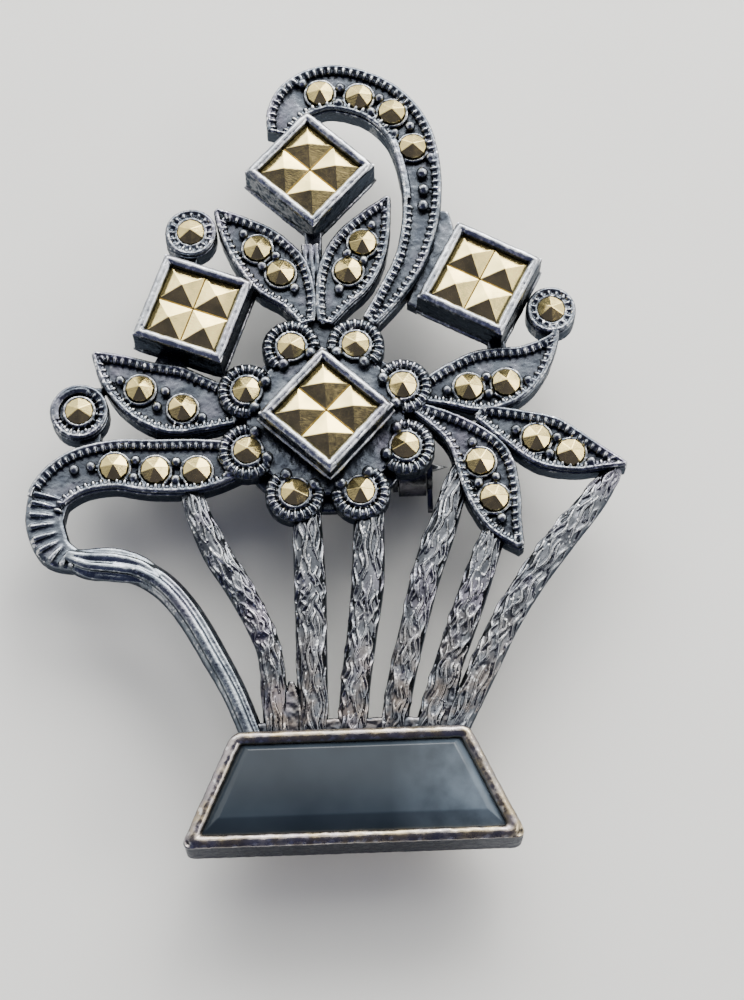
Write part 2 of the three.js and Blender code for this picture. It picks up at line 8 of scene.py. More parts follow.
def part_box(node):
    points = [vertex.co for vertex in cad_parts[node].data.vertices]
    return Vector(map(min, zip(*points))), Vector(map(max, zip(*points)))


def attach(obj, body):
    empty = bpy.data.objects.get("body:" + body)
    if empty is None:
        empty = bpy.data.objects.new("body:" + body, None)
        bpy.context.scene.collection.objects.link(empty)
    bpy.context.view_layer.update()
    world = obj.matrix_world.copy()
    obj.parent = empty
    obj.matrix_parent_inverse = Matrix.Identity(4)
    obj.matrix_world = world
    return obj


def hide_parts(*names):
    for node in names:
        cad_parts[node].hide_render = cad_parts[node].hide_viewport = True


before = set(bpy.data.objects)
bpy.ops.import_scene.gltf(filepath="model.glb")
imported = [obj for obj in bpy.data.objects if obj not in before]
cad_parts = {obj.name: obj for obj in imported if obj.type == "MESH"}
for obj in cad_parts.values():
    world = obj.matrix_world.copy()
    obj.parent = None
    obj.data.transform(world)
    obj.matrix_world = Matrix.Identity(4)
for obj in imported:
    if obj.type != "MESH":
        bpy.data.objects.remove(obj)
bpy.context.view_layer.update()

# --- Surface, camera and light ------------------------------------------------------------------
# The brooch lies on its back on a pale smooth sheet, which stands upright here because the brooch
# is upright. The camera looks up at the face by 20 degrees, and soft panels stand round it.

MM = 0.001
FACE_LEVEL = 1.6  # height of the casting's face over its flat back, which is at y = 0
PIN_LINE = 1.0  # the bouquet's own height that comes to z = 0, where the pin crosses behind it
SHEET_SIDE = 0.9
SHEET_GAP = 0.1 * MM
CAMERA_AIM = (2.6, -2.0)  # x, and height up the bouquet, in mm
CAMERA_TILT = math.radians(20)
CAMERA_ROLL = math.radians(2)
CAMERA_DISTANCE = 128.3 * MM
CAMERA_LENS = 86.4


def deselect():
    bpy.ops.object.select_all(action="DESELECT")


def link(material, output, socket):
    material.node_tree.links.new(output, socket)


def new_material(name):
    material = bpy.data.materials.new(name)
    material.use_nodes = True
    return material, material.node_tree.nodes, material.node_tree.nodes["Principled BSDF"]


def mix_colour(material, factor, first, second):
    mix = material.node_tree.nodes.new("ShaderNodeMix")
    mix.data_type = "RGBA"
    for name, value in (("Factor", factor), ("A", first), ("B", second)):
        if isinstance(value, bpy.types.NodeSocket):
            link(material, value, mix.inputs[name])
        else:
            mix.inputs[name].default_value = value
    return mix.outputs["Result"]


def add_surface():
    behind = max(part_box(node)[1].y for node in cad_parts) + SHEET_GAP
    deselect()
    bpy.ops.mesh.primitive_plane_add(size=SHEET_SIDE, location=(0, behind, 0), rotation=(math.pi / 2, 0, 0))
    sheet = bpy.context.object
    sheet.name = "sheet_behind"
    material, nodes, shader = new_material("pale_sheet")
    grain = nodes.new("ShaderNodeTexNoise")
    grain.inputs["Scale"].default_value = 60
    tones = nodes.new("ShaderNodeValToRGB")
    tones.color_ramp.elements[0].color = (0.815, 0.808, 0.775, 1)
    tones.color_ramp.elements[1].color = (0.865, 0.858, 0.828, 1)
    where = nodes.new("ShaderNodeTexCoord")
    link(material, where.outputs["Object"], grain.inputs["Vector"])
    link(material, grain.outputs["Fac"], tones.inputs["Fac"])
    link(material, tones.outputs["Color"], shader.inputs["Base Color"])
    shader.inputs["Roughness"].default_value = 0.38
    # Seen from behind, the sheet is clear, so that the back of the brooch can be looked at.
    clear = nodes.new("ShaderNodeBsdfTransparent")
    side = nodes.new("ShaderNodeNewGeometry")
    choice = nodes.new("ShaderNodeMixShader")
    link(material, side.outputs["Backfacing"], choice.inputs["Fac"])
    link(material, shader.outputs["BSDF"], choice.inputs[1])
    link(material, clear.outputs["BSDF"], choice.inputs[2])
    link(material, choice.outputs["Shader"], nodes["Material Output"].inputs["Surface"])
    sheet.data.materials.append(material)


def add_camera():
    aim = Vector((CAMERA_AIM[0], -FACE_LEVEL, CAMERA_AIM[1] - PIN_LINE)) * MM
    down = Vector((math.sin(CAMERA_ROLL), 0, math.cos(CAMERA_ROLL))) * -math.sin(CAMERA_TILT)
    back = Vector((0, -math.cos(CAMERA_TILT), 0)) + down
    right = Vector((math.cos(CAMERA_ROLL), 0, -math.sin(CAMERA_ROLL)))
    up = back.cross(right)
    bpy.ops.object.camera_add()
    camera = bpy.context.object
    camera.data.lens = CAMERA_LENS
    camera.data.clip_start = 5 * MM
    turn = Matrix((right, up, back)).transposed().to_4x4()
    camera.matrix_world = Matrix.Translation(aim + back * CAMERA_DISTANCE) @ turn
    bpy.context.scene.camera = camera


def add_panel(name, place, size, power, colour):
    bpy.ops.object.light_add(type="AREA", location=place)
    panel = bpy.context.object
    panel.name = name
    panel.data.shape = "RECTANGLE"
    panel.data.size, panel.data.size_y = size
    panel.data.energy = power
    panel.data.color = colour
    panel.rotation_euler = (-Vector(place)).to_track_quat("-Z", "Y").to_euler()


def toward(room, direction, low, high):
    """1 where the room lies toward a direction, falling to 0 away from it."""
    nodes = room.node_tree.nodes
    place = nodes.new("ShaderNodeTexCoord")
    share = nodes.new("ShaderNodeVectorMath")
    step = nodes.new("ShaderNodeMapRange")
    share.operation = "DOT_PRODUCT"
    share.inputs[1].default_value = Vector(direction).normalized()
    step.interpolation_type = "SMOOTHSTEP"
    step.inputs["From Min"].default_value = low
    step.inputs["From Max"].default_value = high
    link(room, place.outputs["Generated"], share.inputs[0])
    link(room, share.outputs["Value"], step.inputs["Value"])
    return step.outputs["Result"]


def add_room():
    """A pale room, brightest high on the right, and dark below the camera in front."""
    room = bpy.data.worlds.new("studio")
    bpy.context.scene.world = room
    room.use_nodes = True
    high = toward(room, (0.45, -0.25, 0.86), -0.6, 0.6)
    low = toward(room, (-0.05, -0.80, -0.6), 0.52, 0.68)
    light = mix_colour(room, high, (0.28, 0.30, 0.35, 1), (2.15, 2.15, 2.08, 1))
    shade = mix_colour(room, low, light, (0.062, 0.068, 0.15, 1))
    # Looked at straight on, past the sheet's edge or from behind, the room is one plain pale tone.
    seen = room.node_tree.nodes.new("ShaderNodeLightPath").outputs["Is Camera Ray"]
    shade = mix_colour(room, seen, shade, (0.72, 0.72, 0.70, 1))
    link(room, shade, room.node_tree.nodes["Background"].inputs["Color"])


add_surface()
add_camera()
add_panel("key_panel", (0.20, -0.26, 0.38), (0.3, 0.3), 2.6, (1.0, 0.98, 0.94))
add_panel("left_panel", (-0.20, -0.26, 0.38), (0.2, 0.2), 0.6, (0.95, 0.98, 1.0))
add_panel("top_panel", (0.0, -0.26, 0.42), (0.3, 0.3), 1.5, (1.0, 0.99, 0.96))
add_panel("right_panel", (0.40, -0.30, -0.06), (0.10, 0.30), 0.5, (1.0, 0.97, 0.92))
add_panel("back_panel", (-0.10, 0.35, 0.15), (0.30, 0.30), 1.2, (1.0, 1.0, 1.0))
add_room()

# --- Leaves ------------------------------------------------------------------------------------
# Six leaves of the sterling silver casting. Each is a sunk floor inside a thin rim, with an edge
# of milgrain rolled beside it, two stone seats, and the small grains raised to hold the stones.
# Each line below runs down the middle of a leaf: x, height up the bouquet and half width, in mm.

LEAF_LINES = {
    "upper_left_leaf": [(-5.6, 15.7, 0.1), (-4.4, 14.3, 1.05), (-3.2, 13, 1.6), (-2, 11.5, 1.7),
                        (-1.1, 10.1, 1.1), (-0.6, 8.6, 0.5)],
    "upper_right_leaf": [(4.2, 16.2, 0.1), (3.3, 14.6, 1), (2.4, 13, 1.6), (1.6, 11.4, 1.6),
                         (0.9, 10, 1.1), (0.4, 8.6, 0.5)],
    "left_leaf": [(-12.4, 7.2, 0.1), (-11.2, 6.1, 1.05), (-9.6, 4.9, 1.75), (-7.9, 4.2, 2),
                  (-6.4, 3.9, 1.6), (-4.6, 3.6, 1)],
    "right_upper_leaf": [(5, 4, 0.4), (7, 4.5, 1.25), (8.6, 4.7, 1.8), (10.2, 5.1, 1.7), (11.6, 5.85, 1.1),
                         (12.9, 7.2, 0.3), (12.9, 7.9, 0.3)],
    "right_lower_leaf": [(8.6, 2.9, 0.5), (10.6, 1.9, 1.15), (12.2, 1.1, 1.5), (13.8, 0.4, 1.15),
                         (15.2, 0, 0.6), (16.4, -0.35, 0.12)],
    "down_leaf": [(5.2, 3.3, 0.4), (7.3, 1.9, 0.9), (8.6, 0.2, 1.55), (9.1, -1.6, 1.5),
                  (9.6, -3.3, 1.05), (10.5, -4.9, 0.15)],
}
LEAF_FLOOR = 1.15
RIM_RADIUS = 0.15
MILGRAIN_INSET = 0.36
MILGRAIN_PITCH = 0.42
MILGRAIN_ACROSS = 0.29
SEAT_RADIUS = 0.2  # of the wire that the milgrain's beads sit on
SEAT_LIFT = 0.12
BEAD_SINK = 0.24
COLLAR_LIFT = 0.2
GRAIN_RADIUS = 0.3
GRAIN_LIFT = 0.26
CAST_VOXEL = 0.055
CAST_WAVES = 0.45  # how far apart the humps of the uneven cast surface lie


def spline_point(points, i, t):
    """A point on the smooth curve through the points, t of the way from point i to the next."""
    before, here, there = points[max(i - 1, 0)], points[i], points[i + 1]
    after = points[min(i + 2, len(points) - 1)]
    return 0.5 * (
        2 * here
        + (there - before) * t
        + (2 * before - 5 * here + 4 * there - after) * t**2
        + (3 * (here - there) + after - before) * t**3
    )


def smooth_line(line, steps=6):
    points = [Vector(point) for point in line]
    smooth = [spline_point(points, i, s / steps) for i in range(len(points) - 1) for s in range(steps)]
    return smooth + [points[-1]]


def limb_side(line, side, inset=0.0, first=0.0, last=1.0):
    """One edge of a limb, side being 1 or -1, moved in by inset, over part of its length."""
    middle = smooth_line(line)
    edge = []
    for i, point in enumerate(middle):
        if not first <= i / (len(middle) - 1) <= last or point.z - inset < 0.02:
            continue
        along = middle[min(i + 1, len(middle) - 1)].xy - middle[max(i - 1, 0)].xy
        edge.append(point.xy + Vector((-along.y, along.x)).normalized() * side * (point.z - inset))
    return edge


def limb_outline(line, inset=0.0):
    return limb_side(line, 1, inset) + limb_side(line, -1, inset)[::-1]


def bench_curve(path, closed=False):
    """A curve on the bench, from points in mm: x, y and, if the path rises, the height."""
    deselect()
    bpy.ops.curve.primitive_nurbs_path_add(radius=MM)
    curve = bpy.context.object
    curve.data.splines.clear()
    spline = curve.data.splines.new("POLY")
    spline.points.add(len(path) - 1)
    for point, place in zip(spline.points, path):
        height = place[2] if len(place) > 2 else 0
        point.co = (place[0] * MM, place[1] * MM, height * MM, 1)
    spline.use_cyclic_u = closed
    return curve


def as_mesh(curve, name):
    deselect()
    curve.select_set(True)
    bpy.context.view_layer.objects.active = curve
    bpy.ops.object.convert(target="MESH")
    piece = bpy.context.object
    piece.name = name
    bpy.ops.object.transform_apply()
    return piece


def slab(outline, back, face, ease=0.1):
    """A flat plate between two heights over the bench, with eased edges."""
    curve = bench_curve(outline, closed=True)
    curve.data.dimensions = "2D"
    curve.data.fill_mode = "BOTH"
    curve.data.extrude = ((face - back) / 2 - ease) * MM
    curve.data.bevel_depth = ease * MM
    curve.data.bevel_resolution = 1
    curve.data.offset = -ease * MM
    curve.location.z = (face + back) / 2 * MM
    return as_mesh(curve, "slab")


def wire(path, radius, level=0.0, closed=False, roundness=2, radii=None):
    """A round wire along a path, whose thickness may change from point to point."""
    curve = bench_curve(path, closed)
    curve.data.dimensions = "3D"
    curve.data.bevel_depth = radius * MM
    curve.data.bevel_resolution = roundness
    curve.data.use_fill_caps = True
    for point, factor in zip(curve.data.splines[0].points, radii or []):
        point.radius = factor
    curve.location.z = level * MM
    return as_mesh(curve, "wire")


def milgrain(path, level, closed=False, across=MILGRAIN_ACROSS, pitch=MILGRAIN_PITCH, fullness=0.34):
    """A rolled edge of small beads: one bead, an array of it, and a bend along the edge."""
    edge = bench_curve(path, closed)
    edge.data.dimensions = "2D"
    deselect()
    bpy.ops.mesh.primitive_uv_sphere_add(segments=8, ring_count=6, radius=MM)
    chain = bpy.context.object
    chain.scale = (pitch * fullness, across, 0.25)
    chain.location = (pitch / 2 * MM, 0, level * MM)
    bpy.ops.object.transform_apply()
    repeat = chain.modifiers.new("repeat", "ARRAY")
    repeat.fit_type = "FIT_CURVE"
    repeat.curve = edge
    repeat.use_relative_offset = False
    repeat.use_constant_offset = True
    repeat.constant_offset_displace = (pitch * MM, 0, 0)
    bend = chain.modifiers.new("bend", "CURVE")
    bend.object = edge
    bpy.ops.object.modifier_apply(modifier=repeat.name)
    bpy.ops.object.modifier_apply(modifier=bend.name)
    bpy.data.objects.remove(edge)
    return chain


def copies_at(unit, places):
    """Copies of a piece, each with its own mesh, moved to places in mm. The piece itself is used up."""
    made = []
    for place in places:
        copy = bpy.data.objects.new(unit.name, unit.data.copy())
        bpy.context.collection.objects.link(copy)
        copy.data.transform(Matrix.Translation(Vector(place) * MM))
        made.append(copy)
    bpy.data.objects.remove(unit)
    return made


def milled_edge(path, closed=False, sink=BEAD_SINK):
    """A seat of wire over a leaf's floor, with milgrain on it."""
    seat = wire(path, SEAT_RADIUS, LEAF_FLOOR + SEAT_LIFT, closed)
    return [seat, milgrain(path, FACE_LEVEL - sink, closed)]


def rim(path, closed=True):
    """The thin raised edge of a leaf, ring or scroll, flush with the casting's face."""
    return wire(path, RIM_RADIUS, FACE_LEVEL - RIM_RADIUS, closed)


def grains(places, level, radius=GRAIN_RADIUS):
    """Small round grains of silver, raised to hold the stones."""
    deselect()
    bpy.ops.mesh.primitive_uv_sphere_add(segments=12, ring_count=8, radius=radius * MM)
    return copies_at(bpy.context.object, [(place[0], place[1], level) for place in places])


def stone_place(stone):
    """Where a stone's middle lies on the bench, in mm."""
    low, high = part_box(stone)
    return Vector(((low.x + high.x) / 2, (low.z + high.z) / 2)) / MM + Vector((0, PIN_LINE))


def circle(centre, radius, count=28, start=0.0, turn=360.0):
    """Points round a centre, in degrees from the right. Less than a full turn is left open."""
    gaps = count if turn == 360 else count - 1
    angles = [math.radians(start + turn * i / gaps) for i in range(count)]
    return [Vector((centre[0] + radius * math.cos(a), centre[1] + radius * math.sin(a))) for a in angles]


def stone_collar(place, level, radius=0.85):
    """The thin wall of silver pushed up round a stone."""
    return wire(circle(place, radius), 0.11, level, closed=True, roundness=1)


def grain_places(places, aside=0.5, beyond=1.2):
    """Two grains between neighbouring stones, and one past each end of the row."""
    found = []
    for first, second in zip(places, places[1:]):
        along = (second - first).normalized()
        across = Vector((-along.y, along.x)) * aside
        found += [(first + second) / 2 + across, (first + second) / 2 - across]
    along = (places[-1] - places[0]).normalized()
    return found + [places[0] - along * beyond, places[-1] + along * beyond]


def join(name, parts):
    deselect()
    for part in parts:
        part.select_set(True)
    bpy.context.view_layer.objects.active = parts[0]
    bpy.ops.object.join()
    piece = bpy.context.object
    piece.name = name
    return piece


def change(piece, kind, **settings):
    """Adds a modifier with the given settings and applies it."""
    bpy.context.view_layer.objects.active = piece
    modifier = piece.modifiers.new(kind.lower(), kind)
    for setting, value in settings.items():
        setattr(modifier, setting, value)
    bpy.ops.object.modifier_apply(modifier=modifier.name)


def cast(piece, voxel=CAST_VOXEL, soften=2, unevenness=0.05):
    """Everything joined flows into one skin, with soft inner corners and an uneven surface."""
    piece.data.remesh_voxel_size = voxel * MM
    bpy.context.view_layer.objects.active = piece
    bpy.ops.object.voxel_remesh()
    change(piece, "SMOOTH", factor=0.5, iterations=soften)
    waves = bpy.data.textures.new("cast_unevenness", "CLOUDS")
    waves.noise_scale = CAST_WAVES * MM
    waves.noise_depth = 2
    change(piece, "DISPLACE", texture=waves, texture_coords="LOCAL", strength=unevenness * MM, mid_level=0.5)


def stand_up(piece):
    """From flat on the bench, face up, to upright with the face along -Y, at its height over the pin."""
    deselect()
    piece.select_set(True)
    bpy.context.view_layer.objects.active = piece
    piece.rotation_euler = (math.pi / 2, 0, 0)
    piece.location.z = -PIN_LINE * MM
    bpy.ops.object.transform_apply()


def finish_piece(piece, material, slot, body, *nodes, smooth_under=50):
    deselect()
    piece.select_set(True)
    bpy.context.view_layer.objects.active = piece
    bpy.ops.object.shade_smooth_by_angle(angle=math.radians(smooth_under))
    piece.data.materials.clear()
    piece.data.materials.append(material)
    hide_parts(*nodes)
    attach(piece, body)


def make_hollows_group():
    """Masks for old silver: 1 in hollows, and 1 on rubbed edges."""
    group = bpy.data.node_groups.new("hollows_and_edges", "ShaderNodeTree")
    group.interface.new_socket("Reach", in_out="INPUT", socket_type="NodeSocketFloat")
    group.interface.new_socket("Hollow", in_out="OUTPUT", socket_type="NodeSocketFloat")
    group.interface.new_socket("Edge", in_out="OUTPUT", socket_type="NodeSocketFloat")
    nodes, links = group.nodes, group.links
    given, out = nodes.new("NodeGroupInput"), nodes.new("NodeGroupOutput")
    shelter = nodes.new("ShaderNodeAmbientOcclusion")
    shelter.samples = 8
    links.new(given.outputs["Reach"], shelter.inputs["Distance"])
    hollow = nodes.new("ShaderNodeMapRange")
    hollow.inputs["From Min"].default_value = 0.9
    hollow.inputs["From Max"].default_value = 0.45
    links.new(shelter.outputs["AO"], hollow.inputs["Value"])
    links.new(hollow.outputs["Result"], out.inputs["Hollow"])
    shape = nodes.new("ShaderNodeNewGeometry")
    edge = nodes.new("ShaderNodeMapRange")
    edge.inputs["From Min"].default_value = 0.52
    edge.inputs["From Max"].default_value = 0.60
    links.new(shape.outputs["Pointiness"], edge.inputs["Value"])
    links.new(edge.outputs["Result"], out.inputs["Edge"])
    return group


hollows_group = make_hollows_group()


def ramp(material, value, low, high, low_out=0.0, high_out=1.0):
    node = material.node_tree.nodes.new("ShaderNodeMapRange")
    node.inputs["From Min"].default_value = low
    node.inputs["From Max"].default_value = high
    node.inputs["To Min"].default_value = low_out
    node.inputs["To Max"].default_value = high_out
    link(material, value, node.inputs["Value"])
    return node.outputs["Result"]


def noise(material, size, detail=4.0, stretch=(1, 1, 1)):
    """Noise fixed to the piece, with features of a size in mm."""
    nodes = material.node_tree.nodes
    where = nodes.new("ShaderNodeTexCoord")
    mapping = nodes.new("ShaderNodeMapping")
    texture = nodes.new("ShaderNodeTexNoise")
    mapping.inputs["Scale"].default_value = stretch
    texture.inputs["Scale"].default_value = 1 / (size * MM)
    texture.inputs["Detail"].default_value = detail
    link(material, where.outputs["Object"], mapping.inputs["Vector"])
    link(material, mapping.outputs["Vector"], texture.inputs["Vector"])
    return texture.outputs["Fac"]


def along_axis(material, axis, kind="Object"):
    """One coordinate of a point on the piece, in metres over the pin line, or of its normal."""
    nodes = material.node_tree.nodes
    where = nodes.new("ShaderNodeTexCoord")
    split = nodes.new("ShaderNodeSeparateXYZ")
    link(material, where.outputs[kind], split.inputs["Vector"])
    return split.outputs[axis]


def multiply(material, first, second):
    node = material.node_tree.nodes.new("ShaderNodeMath")
    node.operation = "MULTIPLY"
    link(material, first, node.inputs[0])
    link(material, second, node.inputs[1])
    return node.outputs["Value"]


SHADE_EDGES_BELOW = -5.0  # the height over the pin below which the rubbed edges are painted duller, a painted shade toward the bottom
OXIDE = (0.055, 0.062, 0.075, 1)
SIDE_OXIDE = (0.075, 0.086, 0.104, 1)
WORN_SILVER = (0.95, 0.95, 0.95, 1)
DULL_SILVER = (0.08, 0.093, 0.118, 1)
GREY_SILVER = (0.21, 0.235, 0.27, 1)
BROWN_TARNISH = (0.26, 0.18, 0.115, 1)
VIOLET_TARNISH = (0.17, 0.145, 0.20, 1)
HOLLOW_REACH = 0.8 * MM


def facing_out(material):
    """1 on faces that were rubbed bright, front and back, and 0 on upright sides."""
    size = material.node_tree.nodes.new("ShaderNodeMath")
    size.operation = "ABSOLUTE"
    link(material, along_axis(material, "Y", "Normal"), size.inputs[0])
    return ramp(material, size.outputs["Value"], 0.3, 0.8)


def make_silver(name, dull=DULL_SILVER, grey=GREY_SILVER, sides=SIDE_OXIDE, hollows=OXIDE,
                brown=BROWN_TARNISH, brown_and_shade_below=None, wear=WORN_SILVER, bump_depth=0.03,
                bump_stretch=(1, 1, 1), rubbed=True):
    """Oxidised sterling silver: dark in the hollows, blue-grey on the flats, bright on worn edges.
    A pair of heights may be given for brown tarnish: where it starts and where it is fullest. The worn edges
    are then painted duller from 5 mm below the pin down to that fullest height, a painted shade toward the
    bottom."""
    material, nodes, shader = new_material(name)
    masks = nodes.new("ShaderNodeGroup")
    masks.node_tree = hollows_group
    masks.inputs["Reach"].default_value = HOLLOW_REACH
    blotches = noise(material, 1.3)
    flats = mix_colour(material, ramp(material, blotches, 0.36, 0.66), dull, grey)
    violet = ramp(material, noise(material, 2.6, 2), 0.52, 0.68, 0, 0.55)
    flats = mix_colour(material, violet, flats, VIOLET_TARNISH)
    if brown_and_shade_below:
        start, full = (height * MM for height in brown_and_shade_below)
        low = ramp(material, along_axis(material, "Z"), start, full, 0, 0.75)
        patches = multiply(material, low, ramp(material, noise(material, 0.9, 5), 0.42, 0.62))
        flats = mix_colour(material, patches, flats, brown)
    facing = facing_out(material)
    if rubbed:
        flats = mix_colour(material, facing, sides, flats)
    bright = ramp(material, facing, 0, 1, 0.25, 1 if rubbed else 0.4)
    edges = multiply(material, masks.outputs["Edge"], bright)
    # Painted shade: the worn edges are painted duller toward the bottom of the brooch, where less light
    # falls.
    if brown_and_shade_below:
        painted_shade = ramp(material, along_axis(material, "Z"), SHADE_EDGES_BELOW * MM, full, 1, 0.35)
        edges = multiply(material, edges, painted_shade)
    worn = mix_colour(material, edges, flats, wear)
    colour = mix_colour(material, masks.outputs["Hollow"], worn, hollows)
    link(material, colour, shader.inputs["Base Color"])
    shader.inputs["Metallic"].default_value = 0.95
    shader.inputs["Specular Tint"].default_value = (0.35, 0.36, 0.38, 1)
    fine = noise(material, 0.5, 6)
    roughness = ramp(material, fine, 0.3, 0.7, 0.13, 0.36)
    link(material, roughness, shader.inputs["Roughness"])
    bump = nodes.new("ShaderNodeBump")
    bump.inputs["Distance"].default_value = bump_depth * MM
    link(material, noise(material, 0.3, 5, bump_stretch), bump.inputs["Height"])
    link(material, bump.outputs["Normal"], shader.inputs["Normal"])
    return material


silver = make_silver("oxidised_silver")


def casting(name, parts, node="openwork_frame", material=silver, **skin):
    """Parts joined flat on the bench, cast as one skin, and stood up in their place on the brooch."""
    piece = join(name, parts)
    cast(piece, **skin)
    stand_up(piece)
    finish_piece(piece, material, "oxidised_silver", "brooch", node)


for leaf, line in LEAF_LINES.items():
    stones = [stone_place(f"{leaf}_stone_{i}") for i in (1, 2)]
    parts = [slab(limb_outline(line), 0, LEAF_FLOOR), rim(limb_outline(line, RIM_RADIUS))]
    parts += milled_edge(limb_outline(line, MILGRAIN_INSET), closed=True)
    parts += [stone_collar(stone, LEAF_FLOOR + COLLAR_LIFT) for stone in stones]
    parts += grains(grain_places(stones), LEAF_FLOOR + GRAIN_LIFT)
    casting("cast_" + leaf, parts)

# --- Stone rings -------------------------------------------------------------------------------
# Three small round settings at the ends of the bouquet, cast with the leaves: a cup with a rolled
# rim round each stone. The left one is plain on its upper side.
# Each has its middle, its radius, and where its milgrain starts and how far round it goes.

STONE_RINGS = {
    "upper_left_circle": ((-6.95, 14.25), 1.45, 0, 360),
    "right_circle": ((12.85, 8.85), 1.38, 0, 360),
    "left_circle": ((-13.1, 3.7), 1.6, 200, 230),
}
RING_FLOOR = 1.2
RING_MILGRAIN_INSET = 0.38
RING_SEAT_RADIUS = 0.18
RING_MILGRAIN_ACROSS = 0.24
PLAIN_EDGE_INSET = 0.3
PLAIN_EDGE_RADIUS = 0.27
RING_COLLAR_LIFT = 0.25
RING_COLLAR_RADIUS = 0.83

for ring, (centre, radius, start, turn) in STONE_RINGS.items():
    stone = stone_place(ring + "_stone")
    whole = turn == 360
    parts = [slab(circle(centre, radius), 0, RING_FLOOR), rim(circle(centre, radius - RIM_RADIUS))]
    inner = circle(centre, radius - RING_MILGRAIN_INSET, start=start, turn=turn)
    parts.append(wire(inner, RING_SEAT_RADIUS, RING_FLOOR + 0.1, whole))
    parts.append(milgrain(inner, FACE_LEVEL - BEAD_SINK, whole, RING_MILGRAIN_ACROSS))
    if not whole:
        plain = circle(centre, radius - PLAIN_EDGE_INSET, start=start + turn, turn=360 - turn)
        parts.append(wire(plain, PLAIN_EDGE_RADIUS, FACE_LEVEL - PLAIN_EDGE_RADIUS))
    parts.append(stone_collar(stone, RING_FLOOR + RING_COLLAR_LIFT, RING_COLLAR_RADIUS))
    casting("cast_" + ring, parts)

# --- Arch --------------------------------------------------------------------------------------
# A tapering scroll that arches over the top setting, cast in sterling silver. It has four stones
# with paired grains, three single grains below them, and a grooved tail that runs down to the flower.

ARCH_LINE = [(-1.9, 20.4, 0.7), (-1.5, 21.6, 1.1), (-0.5, 22.7, 1.35), (1.3, 23.2, 1.45),
             (3.75, 22.3, 1.38), (5.4, 20.3, 1.3), (6, 17.6, 1.18), (5.95, 15.1, 1.05),
             (5.3, 12.4, 0.9), (4.2, 10.4, 0.75), (2.9, 8.6, 0.5)]
ARCH_STONES = 4
SINGLE_GRAINS = [(6.1, 17.55), (6.14, 16.5), (6.07, 15.5)]
SINGLE_GRAIN_RADIUS = 0.35
SMOOTH_PART = (0.5, 0.68)  # the part of the arch's length where its inner edge has no milgrain
SMOOTH_INSET = 0.28
SMOOTH_RADIUS = 0.24

stones = [stone_place(f"arch_stone_{i + 1}") for i in range(ARCH_STONES)]
parts = [slab(limb_outline(ARCH_LINE), 0, LEAF_FLOOR), rim(limb_outline(ARCH_LINE, RIM_RADIUS))]
outer = limb_side(ARCH_LINE, 1, MILGRAIN_INSET)
inner = limb_side(ARCH_LINE, -1, MILGRAIN_INSET, last=SMOOTH_PART[0])
tail = limb_side(ARCH_LINE, -1, MILGRAIN_INSET, first=SMOOTH_PART[1])
for edge in (outer, inner, tail):
    parts += milled_edge(edge, sink=0.22)
smooth = limb_side(ARCH_LINE, -1, SMOOTH_INSET, *SMOOTH_PART)
parts.append(wire(smooth, SMOOTH_RADIUS, FACE_LEVEL - 0.26))
parts += grains(SINGLE_GRAINS, LEAF_FLOOR + 0.28, SINGLE_GRAIN_RADIUS)
parts += [stone_collar(stone, LEAF_FLOOR + COLLAR_LIFT) for stone in stones]
parts += grains(grain_places(stones), LEAF_FLOOR + GRAIN_LIFT)
casting("cast_arch", parts, "arch_scroll")

# --- Scroll and its strap ------------------------------------------------------------------------
# The handle of the bouquet, cast with the leaves: a stone-set head, a bend with short radial
# grooves, a strap of gathered strands, and a plain polished stem that runs down into the cup.

SCROLL_LINE = [(-4.4, 0.7, 1), (-6.6, 0.4, 1.5), (-9, 0.4, 1.55), (-11.2, 0.6, 1.4), (-13.2, 0.2, 1.3),
               (-14.6, -0.9, 1.15), (-14.95, -2.2, 1.05)]
BEND_LINE = [(-14.7, -0.9, 1.1), (-14.95, -2.4, 1.05), (-14.4, -4, 0.95), (-13.2, -4.7, 0.6)]
STRAP_LINE = [(-13.7, -4.45, 0.7), (-12.6, -4.85, 0.95), (-11.2, -5, 0.95), (-9.8, -5.35, 0.86),
              (-8.9, -6.0, 0.78)]
PLAIN_STEM_LINE = [(-11.2, -5, 0.7), (-9.6, -5.5, 0.82), (-8.3, -6.5, 0.82), (-7.1, -8.1, 0.82),
                   (-5.9, -10.3, 0.8), (-4.9, -12.3, 0.74), (-3.9, -14.9, 0.7)]
SCROLL_STONES = 3
SCROLL_EDGES = ((1, 0.92), (-1, 0.86))  # each side, and how far along it the milgrain goes
SCROLL_RIM_END = 0.9
GRAINS_BY_FLOWER = [(-5.4, 0.75), (-5.0, -0.15)]
GRAINS_BY_BEND = [(-12.45, 0.5), (-13.35, 0.35)]
BEND_FLOOR = 1.2
BEND_RIDGE = [(0, -0.25, 0.9), (0.15, 0.08, 1.1), (0.5, 0.06, 0.8), (1, -0.12, 0.45)]
BEND_RIDGE_RADIUS = 0.17
GROOVE_STEP = 2
SCROLL_VOXEL = 0.06
BALL_PLACE, BALL_LEVEL, BALL_RADIUS = (-13.45, -4.5), 0.9, 0.5
STRANDS = 4
STRAND_RADIUS = 0.25
STRAND_TURNS = (0.07, 0.36)  # where round the bar the first strand lies, and the span of them all
PLAIN_RIDGES = ((0.16, 0.14), (0.29, 0.30))  # where round the stem each ridge lies, and its radius
BAR_LEVEL = 0.72


